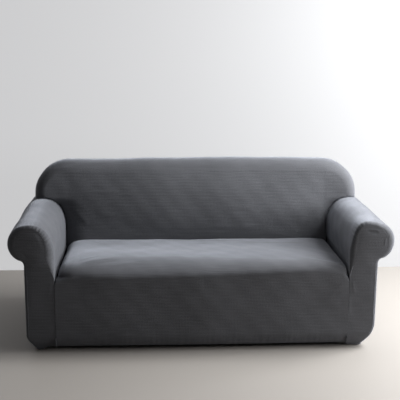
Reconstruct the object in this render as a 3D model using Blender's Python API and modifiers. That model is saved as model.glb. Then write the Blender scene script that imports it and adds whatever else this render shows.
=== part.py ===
"""Fitted stretch slipcover for a roll-arm three-seat sofa, in metres, +Z up, front facing -Y.

Seven sewn panels hang in the shape of the sofa that they cover, which is itself left out, so the
cover is hollow and open underneath. Each panel is an open surface lofted from sections and thickened
inwards. Panels meet edge to edge at a seam, or run side by side down into a tuck. The elastic hem is
part of each cloth: it is drawn in under the base, and it comes down to the floor round four feet.
The origin is on the floor, under the middle of the cover.
"""

from collections import namedtuple
from math import cos, pi, radians, sin, sqrt

import bmesh
import bpy
from mathutils import Vector

# Overall
HALF_WIDTH = 1.000
FRONT = -0.440
REAR = 0.440
CLOTH = 0.002
SEAM_GAP = 0.0005
TUCK_GAP = 0.0006
WING_GAP = 0.0015

# Arms: the section in X and Z is the same from front to rear
ARM_INSIDE = 0.766
ARM_TOP = 0.676
ROLL_HEIGHT = 0.574
FACE_Y = -0.434
Ellipse = namedtuple("Ellipse", "x z half_width half_height")
INNER_ARCH = Ellipse(0.882, 0.520, 0.882 - ARM_INSIDE, ARM_TOP - 0.520)
UPPER_ROLL = Ellipse(0.895, ROLL_HEIGHT, HALF_WIDTH - 0.895, ARM_TOP - ROLL_HEIGHT)
UNDER_ROLL = Ellipse(0.922, ROLL_HEIGHT, HALF_WIDTH - 0.922, 0.086)

# How far the arm cloth turns onto its scroll face: the bearing is that of the surface, 180 towards
# the seat, 90 up, 0 outwards, and -90 under the roll
EdgeRow = namedtuple("EdgeRow", "bearing inset reach")
SCROLL_EDGE = (
    EdgeRow(180, 0.045, 0.045),
    EdgeRow(135, 0.030, 0.032),
    EdgeRow(90, 0.017, 0.018),
    EdgeRow(45, 0.028, 0.026),
    EdgeRow(0, 0.040, 0.034),
    EdgeRow(-50, 0.032, 0.028),
    EdgeRow(-90, 0.018, 0.018),
)
SCROLL_FULLNESS = 0.006

# Base: its side is plumb, then drawn in towards the floor
SIDE_X = 0.922
SIDE_EDGE = 0.015
CREASE_EDGE = 0.018
ROLL_CREASE = 0.484
SIDE_TOP = 0.470
FOOT_EDGE = 0.030
DRAW_TOP = 0.085
DRAW_IN_SIDE = 0.036
DRAW_IN_FACE = 0.030
HEM_HEIGHT = 0.023
FOOT_WIDTH = 0.055
FOOT_EASE = 0.065
CORNER_X = 0.900
HEM_RADIUS = 0.006
HEM_TURN = 0.014

# Seat
CLEFT = 0.382
SEAT_HEIGHT = 0.452
SEAT_REAR_HEIGHT = 0.447
SEAT_SIDE_DROP = 0.025
SEAT_DROP_START = 0.520
SEAT_SIDE = ARM_INSIDE - TUCK_GAP
NOSE = Ellipse(FRONT + 0.075, SEAT_HEIGHT - 0.073, 0.075, 0.073)
FRONT_BOW = FACE_Y - FRONT
TUCK_BOTTOM = 0.385
TUCK_RADIUS = 0.009
TUCK_DEPTH = 0.035
ARM_TUCK_DEPTH = 0.040
WING_TUCK_DEPTH = 0.030
WING_FOOT_CLEAR = 0.003
CORNER_SHARE = 0.8
CLEFT_SETBACK = 0.0045
CLEFT_GAP = 0.0018

# Back
CREASE_Y = 0.170
RAKE = 0.157
BACK_FULLNESS = 0.010
FULL_FROM = 0.400
FULL_RISE = 0.450
BACK_TOP = 0.890
TOP_CROWN = 0.006
WING = Ellipse(0.745, 0.700, 0.200, BACK_TOP - 0.700)
FRONT_EDGE = WING.x + WING.half_width - INNER_ARCH.x
FRONT_EDGE_REACH = 0.065
REAR_EDGE = 0.035
REAR_EDGE_REACH = 0.050
ARM_REAR_SHARE = 0.6
REAR_LEAN = 0.040
LEAN_START = 0.600
LEAN_RISE = 0.290

# Mesh stations
INNER_HEIGHTS = (0.425, 0.455, 0.487, 0.520)
ARCH_ANGLES = (165, 150, 135, 120, 105, 90)
ROLL_ANGLES = (75, 60, 45, 30, 15, 0)
UNDER_ANGLES = (-25, -50, -75)
SIDE_HEIGHTS = (0.440, 0.360, 0.260, 0.160, DRAW_TOP)
APRON_HEIGHTS = (CLEFT, 0.330, 0.270, 0.200, 0.130, DRAW_TOP)
HEM_SHARES = (0.65, 0.30, 0.0)
SEAT_STATIONS = (0.10, 0.0, -0.12, -0.24, -0.32)
NOSE_ANGLES = (90, 70, 50, 30, 14)
SPREAD = (0.0, 0.19, 0.38, 0.56, 0.73, 0.88, 1.0)
WING_ANGLES = (10, 25, 45, 65, 90)
FRONT_QUARTER = (0, 30, 60, 90)
SEAM_QUARTER = (0, 40, 75, 90)
RUN_SHARES = (0.33, 0.66, 1.0)
REAR_PART_START = 0.245
APRON_ROWS = len(HEM_SHARES) + len(APRON_HEIGHTS) - 1
SCROLL_RISE = 3.0

CHARCOAL = (0.070, 0.072, 0.078, 1.0)
UP = Vector((0, 0, 1))
DOWN = Vector((0, 0, -1))
REARWARD = Vector((0, 1, 0))
INWARD = Vector((-1, 0, 0))

Station = namedtuple("Station", "x z out_x out_z inset reach share")


def ease(value):
    """A soft step from 0 to 1."""
    value = min(max(value, 0.0), 1.0)
    return value * value * (3 - 2 * value)


def lerp(start, end, share):
    return start + (end - start) * share


def on_ellipse(ellipse, degrees, inset=0.0):
    """The point of an upright ellipse, in X and Z, at an angle from +X, some way inside its line."""
    angle = radians(degrees)
    x = ellipse.x + (ellipse.half_width - inset) * cos(angle)
    z = ellipse.z + (ellipse.half_height - inset) * sin(angle)
    return x, z


def edge_roll(edge, along, inward, radius, depth):
    """Points over a rounded edge and on into a tuck or hem, from the panel's own border."""
    points = []
    for degrees in (0, 45, 90):
        angle = radians(degrees)
        points.append(edge + along * radius * (1 - sin(angle)) + inward * radius * (1 - cos(angle)))
    points.append(edge + inward * depth)
    return points


# Shared surfaces


def drawn(z):
    """How much of the elastic's pull is felt at a height, from 1 at the floor to 0 above the hem."""
    return max(1 - z / DRAW_TOP, 0.0) ** 1.5


def hem_height(from_corner):
    """The hem's height at a distance from the corner: on the floor round a foot, clear of it between."""
    return HEM_HEIGHT * ease((from_corner - FOOT_WIDTH) / FOOT_EASE)


def side_x(z):
    return SIDE_X - DRAW_IN_SIDE * drawn(z)


def face_y(z):
    return FACE_Y + DRAW_IN_FACE * drawn(z)


def rear_y(z):
    lean = REAR_LEAN * max((z - LEAN_START) / LEAN_RISE, 0.0) ** 1.5
    return REAR - lean - DRAW_IN_FACE * drawn(z)


def back_face_y(x, z):
    """The raked front of the inside back, a little full in the middle."""
    fullness = BACK_FULLNESS * max(1 - (x / WING.x) ** 2, 0.0) * sin(pi * (z - FULL_FROM) / FULL_RISE)
    return CREASE_Y + RAKE * (z - SEAT_REAR_HEIGHT) - max(fullness, 0.0)


def arm_top_z(x):
    """The height of the arm's upper surface over x, from its crown outwards."""
    if x <= UPPER_ROLL.x:
        return ARM_TOP
    across = (x - UPPER_ROLL.x) / UPPER_ROLL.half_width
    return UPPER_ROLL.z + UPPER_ROLL.half_height * sqrt(max(1 - across * across, 0.0))


def wing_outline(degrees, inset):
    """The back's outline round its top corner, some way inside its line."""
    return on_ellipse(WING, degrees, inset)


def top_z(x, inset):
    """The back's top edge, which rises a little to its middle."""
    return BACK_TOP - inset + TOP_CROWN * (1 - (x / WING.x) ** 2)


# The arm's section


def scroll_edge(bearing):
    """Inset and reach of the arm cloth's turn onto the scroll face, read from the table."""
    for first, second in zip(SCROLL_EDGE, SCROLL_EDGE[1:]):
        if bearing >= second.bearing:
            share = (first.bearing - bearing) / (first.bearing - second.bearing)
            return lerp(first.inset, second.inset, share), lerp(first.reach, second.reach, share)
    return SCROLL_EDGE[-1].inset, SCROLL_EDGE[-1].reach


def round_station(ellipse, degrees):
    x, z = on_ellipse(ellipse, degrees)
    out = Vector((cos(radians(degrees)) / ellipse.half_width, sin(radians(degrees)) / ellipse.half_height))
    out.normalize()
    inset, reach = scroll_edge(degrees)
    return Station(x, z, out.x, out.y, inset, reach, None)


def arm_stations():
    """Stations round the arm, from the tuck beside the seat, over the roll, and down to the hem."""
    inset, reach = scroll_edge(180)
    stations = [Station(ARM_INSIDE, CLEFT, -1.0, 0.0, 0.0, 0.0, None)]
    for z in INNER_HEIGHTS:
        share = ease((z - CLEFT) / (INNER_HEIGHTS[-1] - CLEFT))
        stations.append(Station(ARM_INSIDE, z, -1.0, 0.0, inset * share, reach * share, None))
    stations += [round_station(INNER_ARCH, degrees) for degrees in ARCH_ANGLES]
    stations += [round_station(UPPER_ROLL, degrees) for degrees in ROLL_ANGLES]
    stations += [round_station(UNDER_ROLL, degrees) for degrees in UNDER_ANGLES]
    slope = sqrt(0.5)
    crease_x = SIDE_X + (ROLL_CREASE - SIDE_TOP) / 3
    stations.append(Station(crease_x, ROLL_CREASE, slope, -slope, CREASE_EDGE, CREASE_EDGE, None))
    stations.append(Station(SIDE_X, SIDE_TOP, 1.0, 0.0, SIDE_EDGE, SIDE_EDGE, None))
    for z in SIDE_HEIGHTS:
        stations.append(Station(side_x(z), z, 1.0, 0.0, SIDE_EDGE, SIDE_EDGE, None))
    for share in HEM_SHARES:
        edge = lerp(FOOT_EDGE, SIDE_EDGE, share)
        stations.append(Station(0.0, 0.0, 1.0, 0.0, edge, edge, share))
    return stations


ARM = arm_stations()
ARM_CROWN = 1 + len(INNER_HEIGHTS) + len(ARCH_ANGLES)


def side_hem(y):
    return hem_height(min(y - FACE_Y, REAR - y))


def arm_at(station, y):
    """The station's point on the arm's section at y, which near the hem follows the hem's height."""
    if station.share is None:
        return station.x, station.z
    hem = side_hem(y) + HEM_RADIUS
    z = lerp(hem, DRAW_TOP, station.share)
    return side_x(z), z


def front_turn(station, degrees, gap=0.0):
    """A point of the turn onto the scroll face, from 0 at the arm's side to 90 at the seam."""
    angle = radians(degrees)
    x, z = arm_at(station, FACE_Y)
    inset = (station.inset + gap) * (1 - cos(angle))
    y = face_y(z) + station.reach * (1 - sin(angle))
    if station is ARM[0]:
        y += CLEFT_SETBACK
    return Vector((x - station.out_x * inset, y, z - station.out_z * inset))


def rear_turn(station, degrees, gap=0.0):
    """The same turn at the rear, onto the outside back."""
    angle = radians(degrees)
    share = 1.0 if station.share is not None or station.z <= ROLL_CREASE else ARM_REAR_SHARE
    x, z = arm_at(station, REAR)
    inset = (station.inset * share + gap) * (1 - cos(angle))
    y = rear_y(z) - station.reach * share * (1 - sin(angle))
    return Vector((x - station.out_x * inset, y, z - station.out_z * inset))


def sideways(point, side):
    return Vector((point.x * side, point.y, point.z))


# Meshes


class Sheet:
    """An open surface put together from rows of points; points that coincide become one."""

    def __init__(self):
        self.bm = bmesh.new()
        self.spots = {}

    def vert(self, point):
        key = tuple(round(value, 6) for value in point)
        if key not in self.spots:
            self.spots[key] = self.bm.verts.new(point)
        return self.spots[key]

    def loft(self, rows):
        """Faces between each row of points and the next."""
        for first, second in zip(rows, rows[1:]):
            for index in range(min(len(first), len(second)) - 1):
                corners = (first[index], first[index + 1], second[index + 1], second[index])
                ring = list(dict.fromkeys(self.vert(corner) for corner in corners))
                if len(ring) > 2:
                    self.bm.faces.new(ring)

    def to_object(self, name, inside, mirrored):
        """An object of its own, thickened away from the side that shows."""
        bmesh.ops.recalc_face_normals(self.bm, faces=self.bm.faces)
        facing = sum(
            face.calc_area() * face.normal.dot(face.calc_center_median() - inside)
            for face in self.bm.faces
        )
        if facing < 0:
            bmesh.ops.reverse_faces(self.bm, faces=self.bm.faces)
        mesh = bpy.data.meshes.new(name)
        self.bm.to_mesh(mesh)
        self.bm.free()
        mesh.shade_smooth()
        mesh.materials.append(cloth_material(name))
        panel = bpy.data.objects.new(name, mesh)
        if mirrored:
            mirror = panel.modifiers.new("other_half", "MIRROR")
            mirror.merge_threshold = 0.00001
        thicken = panel.modifiers.new("cloth", "SOLIDIFY")
        thicken.thickness = CLOTH
        thicken.offset = -1.0
        return panel


def cloth_material(name):
    material = bpy.data.materials.new(name + "_cloth")
    material.use_nodes = True
    shader = material.node_tree.nodes["Principled BSDF"]
    shader.inputs["Base Color"].default_value = CHARCOAL
    shader.inputs["Roughness"].default_value = 0.85
    shader.inputs["Metallic"].default_value = 0.0
    return material


def ladder(borders, shares):
    """Rows from the middle plane out to each border point."""
    rows = []
    for border in borders:
        rows.append([Vector((border.x * share, border.y, border.z)) for share in shares])
    return rows


def hem_rows(edges, inward):
    """The rows that turn a hem under, from its edge points."""
    turned = []
    for edge, direction in zip(edges, inward):
        turned.append(edge_roll(edge + DOWN * HEM_RADIUS, UP, direction, HEM_RADIUS, HEM_TURN))
    return [list(row) for row in zip(*turned)]


# The panels


def seat_point(x, y, z, facing_up):
    """A point of the seat and apron, with the drop beside the arms and the bow of the front."""
    drop = SEAT_SIDE_DROP * max((abs(x) - SEAT_DROP_START) / (ARM_INSIDE - SEAT_DROP_START), 0.0) ** 2
    bow = FRONT_BOW * (x / ARM_INSIDE) ** 2 * (1 - facing_up)
    return Vector((x, y + bow, z - drop * facing_up))


def seat_rows(x):
    """Points down the panel at x, from the crease of the back, over the nose, to the hem."""
    rear = seat_point(x, 0.0, SEAT_REAR_HEIGHT, 1.0)
    rear.y = back_face_y(x, rear.z) - TUCK_GAP - TUCK_RADIUS
    points = [rear]
    for y in SEAT_STATIONS:
        share = ease((y - SEAT_STATIONS[0]) / (SEAT_STATIONS[-1] - SEAT_STATIONS[0]))
        points.append(seat_point(x, y, lerp(SEAT_REAR_HEIGHT, SEAT_HEIGHT, share), 1.0))
    for degrees in NOSE_ANGLES:
        y, z = on_ellipse(NOSE, 180 - degrees)
        points.append(seat_point(x, y, z, sin(radians(degrees))))
    for z in APRON_HEIGHTS:
        points.append(seat_point(x, FRONT + DRAW_IN_FACE * drawn(z), z, 0.0))
    hem = hem_height(CORNER_X - x) + HEM_RADIUS
    for share in HEM_SHARES:
        z = lerp(hem, DRAW_TOP, share)
        points.append(seat_point(x, FRONT + DRAW_IN_FACE * drawn(z), z, 0.0))
    return points


def build_seat_apron():
    """Seat and front apron in one cloth, tucked in behind and beside, down to the hem."""
    sheet = Sheet()
    cleft = len(SEAT_STATIONS) + len(NOSE_ANGLES) + 1
    border_x = SEAT_SIDE - TUCK_RADIUS
    columns = [seat_rows(border_x * share) for share in SPREAD]
    columns[-1][cleft:] = seat_rows(SEAT_SIDE)[cleft:]
    sheet.loft(columns)

    turns = []
    for column in columns[:-1]:
        edge = column[0] + REARWARD * TUCK_RADIUS
        turns.append(edge_roll(edge, -REARWARD, DOWN, TUCK_RADIUS, edge.z - TUCK_BOTTOM))
    border = columns[-1]
    corner = border[0]
    diagonal = Vector((-1, -1, 0)).normalized()
    radius = TUCK_RADIUS * CORNER_SHARE
    turns.append(edge_roll(corner - diagonal * radius, diagonal, DOWN, radius, corner.z - TUCK_BOTTOM))
    for turn in turns:
        for point in turn[1:]:
            point.y += back_face_y(point.x, point.z) - back_face_y(point.x, turn[0].z)
    for before, point, after in zip(border[: cleft - 1], border[1:cleft], border[2 : cleft + 1]):
        run = (after - before).normalized()
        inward = Vector((0, -run.z, run.y))
        depth = lerp(TUCK_DEPTH, point.z - TUCK_BOTTOM, max(-inward.z, 0.0) ** 4)
        turns.append(edge_roll(point - INWARD * TUCK_RADIUS, INWARD, inward, TUCK_RADIUS, depth))
    turns.append([border[cleft]] * len(turns[0]))
    sheet.loft(turns)

    hem_edge = [column[-1] for column in columns]
    sheet.loft(hem_rows(hem_edge, [REARWARD] * len(hem_edge)))
    return sheet.to_object("seat_apron", Vector((0, 0, 0.2)), mirrored=True)


def rim_path(outline):
    """Points over the back's edge, from the border of its face to the seam behind."""
    points = []
    for degrees in FRONT_QUARTER:
        x, z = outline(FRONT_EDGE * (1 - sin(radians(degrees))))
        y = back_face_y(x, z) + FRONT_EDGE_REACH * (1 - cos(radians(degrees)))
        points.append(Vector((x, y, z)))
    for degrees in SEAM_QUARTER:
        x, z = outline(REAR_EDGE * (1 - cos(radians(degrees))))
        y = rear_y(z) - REAR_EDGE_REACH * (1 - sin(radians(degrees)))
        points.append(Vector((x, y, z)))
    return points


def wing_foot(inset):
    """The lowest line of the back's side, which rests along the arm."""
    x = WING.x + WING.half_width - inset
    return x, arm_top_z(x) + WING_GAP + TUCK_RADIUS


def outline_at(degrees):
    return lambda inset: wing_outline(degrees, inset)


def top_at(x):
    return lambda inset: (x, top_z(x, inset))


def back_outlines():
    """The outline at each station, from the arm, round the top corner, to the middle."""
    outlines = [wing_foot] + [outline_at(degrees) for degrees in WING_ANGLES[:-1]]
    return outlines + [top_at(WING.x * share) for share in reversed(SPREAD)]


def build_back_front():
    """Inside back in one cloth over the top and sides, tucked in along the arms and the seat."""
    sheet = Sheet()
    turns = []
    borders = []
    for station in [ARM[0]._replace(z=TUCK_BOTTOM)] + ARM[1:ARM_CROWN]:
        out = Vector((station.out_x, 0, station.out_z))
        edge = Vector((station.x, 0, station.z)) + out * TUCK_GAP
        edge.y = back_face_y(edge.x, edge.z)
        turn = edge_roll(edge, out, REARWARD, TUCK_RADIUS, TUCK_DEPTH)
        turn[0].y = back_face_y(turn[0].x, turn[0].z)
        turns.append(turn)
        borders.append(turn[0])
    paths = [rim_path(outline) for outline in back_outlines()]
    corner = len(WING_ANGLES)
    borders += [path[0] for path in paths[1 : corner + 1]]
    rows = ladder(borders, SPREAD)
    for row in rows:
        for point in row:
            point.y = back_face_y(point.x, point.z)
    rows[-1] = [path[0] for path in reversed(paths[corner:])]
    sheet.loft(rows)
    sheet.loft(paths)

    bearings = FRONT_QUARTER[1:] + tuple(90 + degrees for degrees in SEAM_QUARTER)
    for point, bearing in zip(paths[0][1:], bearings):
        inward = Vector((-sin(radians(bearing)), cos(radians(bearing)), 0))
        edge = point - UP * TUCK_RADIUS
        turn = edge_roll(edge, UP, inward, TUCK_RADIUS, WING_TUCK_DEPTH)
        for lower in turn[2:]:
            lower.z = arm_top_z(lower.x) + WING_GAP
        turns.append([point] + turn[1:])
    sheet.loft(turns)
    return sheet.to_object("back_front", Vector((0, 0.33, 0.6)), mirrored=True)


def build_back_rear():
    """Outside back: one flat cloth to the outline of base, rolls and top corners."""
    sheet = Sheet()
    seam = [rear_turn(station, 90, SEAM_GAP) for station in reversed(ARM[ARM_CROWN:])]
    for outline in back_outlines()[: len(WING_ANGLES) + 1]:
        x, z = outline(REAR_EDGE + SEAM_GAP)
        seam.append(Vector((x, rear_y(z), z)))
    seam[len(ARM) - ARM_CROWN].x -= WING_FOOT_CLEAR
    rows = ladder(seam, SPREAD)
    for row, share in zip(rows, reversed(HEM_SHARES)):
        for point in row:
            point.z = lerp(hem_height(CORNER_X - point.x) + HEM_RADIUS, DRAW_TOP, share)
            point.y = rear_y(point.z)
    for point in rows[-1]:
        point.z = top_z(point.x, REAR_EDGE + SEAM_GAP)
        point.y = rear_y(point.z)
    sheet.loft(rows)
    sheet.loft(hem_rows(rows[0], [-REARWARD] * len(rows[0])))
    return sheet.to_object("back_rear", Vector((0, 0.33, 0.5)), mirrored=True)


def arm_row(station, reaches_rear):
    """The station's points from the scroll seam back, to the tuck or on to the rear seam."""
    row = [front_turn(station, degrees) for degrees in reversed(SEAM_QUARTER)]
    start = row[-1].y
    end = REAR_PART_START if reaches_rear else back_face_y(station.x, station.z) + ARM_TUCK_DEPTH
    ys = [lerp(start, end, share) for share in RUN_SHARES]
    if reaches_rear:
        ys.append(lerp(end, REAR, 0.5))
    for y in ys:
        x, z = arm_at(station, y)
        row.append(Vector((x, y, z)))
    if reaches_rear:
        row += [rear_turn(station, degrees) for degrees in SEAM_QUARTER]
    return row


def build_arm(name, side):
    """Inside of the arm, roll and outer side in one cloth, from the seat tuck to the hem."""
    sheet = Sheet()
    rows = [arm_row(station, index >= ARM_CROWN) for index, station in enumerate(ARM)]
    rows = [[sideways(point, side) for point in row] for row in rows]
    sheet.loft(rows)
    inward = [hem_bearing(index, len(rows[-1]), side) for index in range(len(rows[-1]))]
    sheet.loft(hem_rows(rows[-1], inward))
    return sheet.to_object(name, Vector((0.85 * side, 0, 0.3)), mirrored=False)


def hem_bearing(index, count, side):
    """The way in from the hem edge at a point of its row: it swings round at both corners."""
    from_rear = count - 1 - index
    if index < len(SEAM_QUARTER):
        angle = radians(SEAM_QUARTER[-1 - index])
    elif from_rear < len(SEAM_QUARTER):
        angle = -radians(SEAM_QUARTER[-1 - from_rear])
    else:
        angle = 0.0
    return Vector((-cos(angle) * side, sin(angle), 0))


def scroll_borders():
    """The seam round the scroll face: up its inner side, up its outer side, and over the top."""
    inner = []
    for share in reversed(HEM_SHARES):
        z = lerp(hem_height(CORNER_X - ARM_INSIDE) + HEM_RADIUS, DRAW_TOP, share)
        inner.append(Vector((ARM_INSIDE, face_y(z), z)))
    for z in reversed(APRON_HEIGHTS):
        inner.append(Vector((ARM_INSIDE, face_y(z), z)))
    first = 1
    shoulder = first + len(INNER_HEIGHTS) + 2
    inner[-1].x += CLEFT_GAP
    inner.append(front_turn(ARM[first], 90, CLEFT_GAP))
    inner += [front_turn(station, 90, SEAM_GAP) for station in ARM[first + 1 : shoulder + 1]]
    brow = len(ARM) - len(inner)
    outer = [front_turn(station, 90, SEAM_GAP) for station in reversed(ARM[brow:])]
    top = [front_turn(station, 90, SEAM_GAP) for station in ARM[shoulder : brow + 1]]
    return inner, outer, top


def build_arm_front(name, side):
    """Scroll face: its own cloth from the top of the roll to the hem, a little full at the scroll."""
    sheet = Sheet()
    inner, outer, top = scroll_borders()
    width = top[-1].x - top[0].x
    shares = [(point.x - top[0].x) / width for point in top]
    rows = []
    for level, (left, right) in enumerate(zip(inner, outer)):
        head = ease((level - APRON_ROWS) / SCROLL_RISE) * (1 - ease((level - len(inner) + SCROLL_RISE) / 2))
        row = []
        for share in shares:
            point = left.lerp(right, share)
            if level < len(HEM_SHARES):
                hem = hem_height(CORNER_X - point.x) + HEM_RADIUS
                point.z = lerp(hem, DRAW_TOP, HEM_SHARES[-1 - level])
                point.y = face_y(point.z)
            point.y -= SCROLL_FULLNESS * head * 4 * share * (1 - share)
            row.append(point)
        rows.append(row)
    rows[-1] = top
    rows = [[sideways(point, side) for point in row] for row in rows]
    sheet.loft(rows)
    sheet.loft(hem_rows(rows[0], [REARWARD] * len(rows[0])))
    return sheet.to_object(name, Vector((0.85 * side, 0, 0.3)), mirrored=False)


def main():
    for old in list(bpy.data.objects):
        bpy.data.objects.remove(old, do_unlink=True)
    cover = bpy.data.collections.new("sofa_slipcover")
    bpy.context.scene.collection.children.link(cover)
    cover.objects.link(build_seat_apron())
    cover.objects.link(build_back_front())
    cover.objects.link(build_back_rear())
    for word, side in (("left", -1), ("right", 1)):
        cover.objects.link(build_arm("arm_" + word, side))
        cover.objects.link(build_arm_front("arm_front_" + word, side))


main()
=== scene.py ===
"""The looks of the fitted sofa slipcover: its seven cloth panels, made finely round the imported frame.

Every panel is a loft of close sections through the same named sizes as the frame, with the small
differences between the cover's left and right, its creases, puckers and gathers, and a jacquard cloth.
"""

from collections import namedtuple
from math import cos, pi, radians, sin

import bmesh
import bpy
import numpy as np
from mathutils import Matrix, Vector


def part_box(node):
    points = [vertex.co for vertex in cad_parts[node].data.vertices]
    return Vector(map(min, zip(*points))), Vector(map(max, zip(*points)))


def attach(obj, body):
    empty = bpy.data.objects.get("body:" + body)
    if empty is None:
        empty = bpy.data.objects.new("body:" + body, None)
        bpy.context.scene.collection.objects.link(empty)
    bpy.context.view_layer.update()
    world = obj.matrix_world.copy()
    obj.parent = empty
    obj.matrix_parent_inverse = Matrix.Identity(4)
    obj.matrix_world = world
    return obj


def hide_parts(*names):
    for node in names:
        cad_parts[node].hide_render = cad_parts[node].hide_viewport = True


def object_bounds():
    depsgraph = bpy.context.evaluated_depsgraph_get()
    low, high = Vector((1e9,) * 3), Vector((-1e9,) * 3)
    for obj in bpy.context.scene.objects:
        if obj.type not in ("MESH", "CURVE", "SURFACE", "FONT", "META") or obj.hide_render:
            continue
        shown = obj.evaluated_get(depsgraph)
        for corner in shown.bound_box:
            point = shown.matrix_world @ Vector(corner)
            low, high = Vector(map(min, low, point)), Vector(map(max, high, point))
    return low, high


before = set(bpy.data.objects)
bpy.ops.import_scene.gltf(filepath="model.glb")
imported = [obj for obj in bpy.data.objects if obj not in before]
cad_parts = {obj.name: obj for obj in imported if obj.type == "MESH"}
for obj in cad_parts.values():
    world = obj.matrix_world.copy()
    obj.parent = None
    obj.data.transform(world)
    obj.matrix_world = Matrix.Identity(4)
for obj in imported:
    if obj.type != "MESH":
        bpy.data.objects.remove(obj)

cad_low, cad_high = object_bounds()

# ------------------------ sizes, in metres

# Read off the frame
REAR = cad_high.y
FRONT = cad_low.y
HALF_WIDTH = cad_high.x
FACE_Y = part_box("arm_right")[0].y
ARM_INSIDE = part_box("arm_right")[0].x
ARM_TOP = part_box("arm_right")[1].z
SEAT_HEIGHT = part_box("seat_apron")[1].z
HEM_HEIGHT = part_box("seat_apron")[0].z
WING_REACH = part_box("back_front")[1].x

CLOTH = 0.0016
SEAM_GAP = 0.0002
SEAM_RADIUS = 0.0004
SEAM_DEPTH = 0.005
SEAM_SUPPORT = 0.0015
TUCK_GAP = 0.0030
WING_GAP = 0.0048

Ellipse = namedtuple("Ellipse", "x z half_width half_height")
ARCH_HEIGHT = 0.520
ROLL_HEIGHT = 0.574
INNER_ARCH = Ellipse(0.882, ARCH_HEIGHT, 0.882 - ARM_INSIDE, ARM_TOP - ARCH_HEIGHT)
UPPER_ROLL = Ellipse(0.895, ROLL_HEIGHT, HALF_WIDTH - 0.895, ARM_TOP - ROLL_HEIGHT)
UNDER_ROLL = Ellipse(0.922, ROLL_HEIGHT, HALF_WIDTH - 0.922, 0.086)
UNDER_END = -75
SIDE_TOP = 0.462
CREASE_PULL = 0.488

# How far the arm cloth turns onto its scroll face at each bearing round the arm
EdgeRow = namedtuple("EdgeRow", "bearing inset reach")
SCROLL_EDGE = (
    EdgeRow(180, 0.045, 0.045),
    EdgeRow(135, 0.030, 0.032),
    EdgeRow(90, 0.017, 0.018),
    EdgeRow(45, 0.028, 0.026),
    EdgeRow(0, 0.040, 0.034),
    EdgeRow(-50, 0.032, 0.028),
    EdgeRow(-90, 0.018, 0.018),
)
SCROLL_FULLNESS = 0.003
CORNER_REACH = 0.26
SIDE_EDGE = 0.015
FOOT_EDGE = 0.030
REAR_EDGE_SHARE = 0.6

DRAW_TOP = 0.085
DRAW_IN_FACE = 0.042
HEM_RADIUS = 0.005
HEM_TURN = 0.014
CORNER_X = 0.900

CLEFT = 0.382
SEAT_REAR_HEIGHT = 0.447
SEAT_CROWN = 0.020
SEAT_DROP = 0.010
SEAT_GAP = 0.013
CROWN_MIDDLE = -0.30
CROWN_REACH = 0.36
NOSE_SWELL = 0.009

# The seat's rounded front along the seat: soft on the left and middle, tighter on the right and at the arms
NoseRow = namedtuple("NoseRow", "x depth rise")
NOSE = (
    NoseRow(-0.765, 0.060, 0.054),
    NoseRow(-0.660, 0.120, 0.064),
    NoseRow(-0.500, 0.156, 0.070),
    NoseRow(-0.100, 0.146, 0.066),
    NoseRow(0.300, 0.106, 0.054),
    NoseRow(0.560, 0.076, 0.044),
    NoseRow(0.765, 0.056, 0.056),
)
FRONT_BOW = FACE_Y - FRONT
TUCK_BOTTOM = 0.385
TUCK_RADIUS = 0.009
TUCK_LINE = 0.424
TUCK_FALL = 0.050
TUCK_DEPTH = 0.035
CLEFT_SETBACK = 0.0045
CLEFT_GAP = 0.0018

CREASE_Y = 0.170
RAKE = 0.157
BACK_FULLNESS = 0.036
FULL_FROM = 0.400
TOP_ROUNDNESS = 0.034
TOP_ROUND_FROM = 0.700
TOP_ROUND_TO = ARM_TOP + 0.24
FULL_RISE = 0.450
WING_X = 0.745
WING_Z = 0.700
FRONT_EDGE = WING_REACH - INNER_ARCH.x
FRONT_EDGE_REACH = 0.065
REAR_EDGE = 0.035
REAR_EDGE_REACH = 0.045
REAR_LEAN = 0.040
LEAN_START = 0.600
LEAN_RISE = 0.290
REAR_PART_START = 0.245
ARM_TUCK_DEPTH = 0.040
WING_TUCK_DEPTH = 0.030
WING_FOOT_CLEAR = 0.003

# The back's top edge, which rises towards the right
TopRow = namedtuple("TopRow", "x z")
TOP_LINE = (
    TopRow(-0.745, 0.889),
    TopRow(-0.560, 0.888),
    TopRow(-0.280, 0.893),
    TopRow(0.020, 0.898),
    TopRow(0.310, 0.899),
    TopRow(0.600, 0.895),
    TopRow(0.745, 0.894),
)

# What differs between the two ends of the cover
Side = namedtuple(
    "Side",
    "sign side_x draw_top draw_in foot_width foot_ease drop_start seat_round seat_roll"
    " roll_swell rear_bulge inner_turn tuck_pull hollow_depth hollow_width corner_fill",
)
LEFT = Side(
    sign=-1,
    side_x=0.920,
    draw_top=0.085,
    draw_in=0.044,
    foot_width=0.050,
    foot_ease=0.060,
    drop_start=0.560,
    seat_round=0.105,
    seat_roll=0.056,
    roll_swell=0.0036,
    rear_bulge=0.0030,
    inner_turn=1.0,
    tuck_pull=0.0,
    hollow_depth=0.036,
    hollow_width=0.150,
    corner_fill=0.003,
)
RIGHT = Side(
    sign=1,
    side_x=0.915,
    draw_top=0.130,
    draw_in=0.056,
    foot_width=0.085,
    foot_ease=0.090,
    drop_start=0.660,
    seat_round=0.024,
    seat_roll=0.018,
    roll_swell=0.0045,
    rear_bulge=0.0,
    inner_turn=0.62,
    tuck_pull=0.011,
    hollow_depth=0.020,
    hollow_width=0.080,
    corner_fill=0.021,
)
SIDES = {"left": LEFT, "right": RIGHT}

STEP = 0.0065
REARWARDS = np.array([0.0, 1.0])

# An edge that is rolled over: the bearings of its rows, then None for the run on past the turn
EDGE_TURN = (30, 60, 90, None)

# A row this close beside a seam, as a bearing or a share, keeps the seam crisp
BESIDE_SEAM = 88.6
BESIDE_SIDE = 0.007
BESIDE_TOP = 0.9985


# ------------------------ lines and surfaces


def ease(value):
    """A soft step from 0 to 1."""
    value = np.clip(value, 0.0, 1.0)
    return value * value * (3 - 2 * value)


def mix(start, end, share):
    return start + (end - start) * share


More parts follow.
